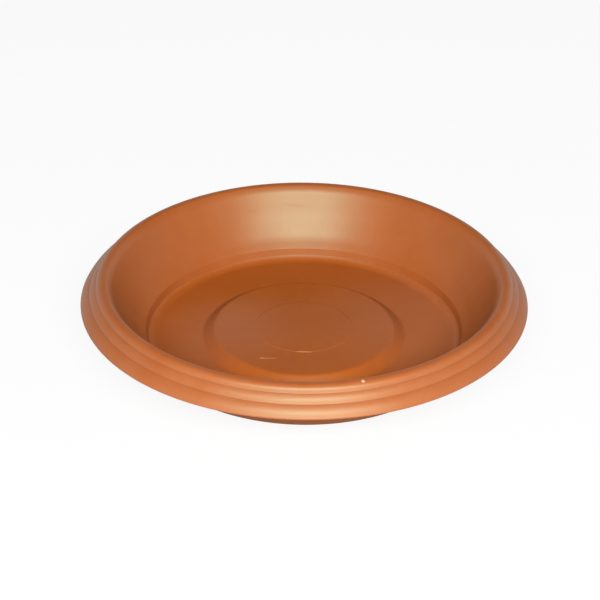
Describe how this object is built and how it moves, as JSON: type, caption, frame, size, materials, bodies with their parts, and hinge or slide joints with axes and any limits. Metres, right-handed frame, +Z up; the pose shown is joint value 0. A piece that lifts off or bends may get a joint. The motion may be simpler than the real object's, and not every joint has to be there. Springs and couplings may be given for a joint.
{
  "type": "plant saucer",
  "caption": "Round plastic plant saucer with a flared wall, a banded down-turned rim and a raised plateau that holds a pot above the caught water.",
  "frame": {"origin": "centre of the dish on the surface it stands on", "axes": "+Z up along the dish's axis, -Y towards the side with the raised bar on the plateau"},
  "size_m": [0.25, 0.25, 0.041],
  "materials": {
    "terracotta_plastic": "satin moulded"
  },
  "bodies": {
    "root": {"saucer_body": "terracotta_plastic"}
  },
  "joints": []
}
